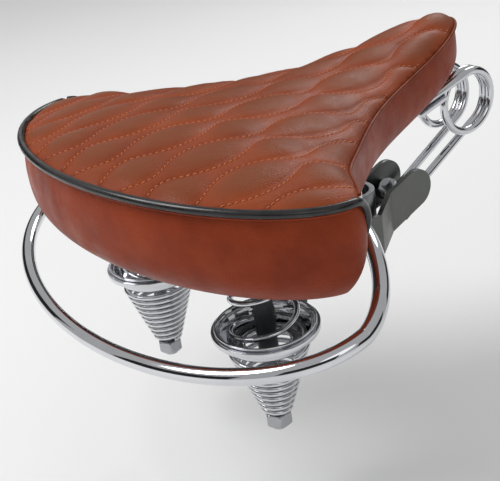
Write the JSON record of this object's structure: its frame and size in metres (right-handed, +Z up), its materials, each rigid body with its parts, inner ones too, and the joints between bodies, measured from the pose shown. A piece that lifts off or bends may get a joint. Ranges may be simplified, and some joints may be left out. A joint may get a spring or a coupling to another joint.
{
  "type": "bicycle saddle",
  "caption": "Sprung cruiser bicycle saddle with a quilted padded top, rear cone springs, looped nose spring, crash rail and seat post clamp.",
  "frame": {"origin": "centre of the seat post bore, on its axis, half way up the clamp collar", "axes": "+X to the rider's right, +Y to the nose, +Z up along the seat post"},
  "size_m": [0.284, 0.3015, 0.1732],
  "materials": {
    "cover_leather": "satin grained",
    "skirt_leather": "satin grained",
    "stitching": "twisted thread",
    "piping_vinyl": "glossy",
    "foam": "open cell foam",
    "pan_plastic": "matte moulded",
    "chrome": "polished plating",
    "spring_chrome": "plated spring wire",
    "zinc": "zinc plated",
    "black_steel": "gloss black",
    "sleeve_rubber": "matte"
  },
  "bodies": {
    "clamp": {"post_collar": "zinc"},
    "frame": {"upper_spring_left": "spring_chrome", "upper_spring_right": "spring_chrome", "lower_spring_left": "spring_chrome", "lower_spring_right": "spring_chrome", "spring_cup_left": "chrome", "spring_cup_right": "chrome", "yoke": "chrome", "yoke_bolts": "zinc", "side_plate_left": "chrome", "side_plate_right": "chrome", "rail_left": "chrome", "rail_right": "chrome", "rail_bridge": "black_steel", "bridge_cap": "black_steel", "bridge_bolt": "zinc", "bridge_washer": "zinc", "bridge_nut": "zinc", "tilt_washers": "zinc", "tilt_bolt": "zinc", "tilt_nut": "zinc"},
    "seat": {"cover_top": "cover_leather", "rear_skirt": "skirt_leather", "side_panel_left": "skirt_leather", "side_panel_right": "skirt_leather", "edge_piping": "piping_vinyl", "foam_pad": "foam", "base_pan": "pan_plastic", "nose_bracket": "black_steel", "nose_bracket_bolts": "zinc", "nose_leg_left": "chrome", "nose_leg_right": "chrome", "spring_bolt_left": "zinc", "spring_bolt_right": "zinc", "spring_sleeve_left": "sleeve_rubber", "spring_sleeve_right": "sleeve_rubber", "spring_nuts": "zinc", "pan_washers": "zinc", "crash_rail": "chrome", "crash_rail_bolts": "zinc", "crash_rail_clips": "black_steel"}
  },
  "joints": [
    {"name": "clamp_tilt", "type": "hinge", "parent": "clamp", "child": "frame", "pos_m": [0, -0.022, 0], "axis": [1, 0, 0], "range_deg": [-12, 12]},
    {"name": "suspension", "type": "hinge", "parent": "frame", "child": "seat", "pos_m": [0, 0.09, 0.048], "axis": [1, 0, 0], "range_deg": [0, 6], "stiffness_Nm_per_rad": 400, "springref_deg": -1.15, "deforming": ["upper_spring_left", "upper_spring_right", "lower_spring_left", "lower_spring_right"]}
  ]
}
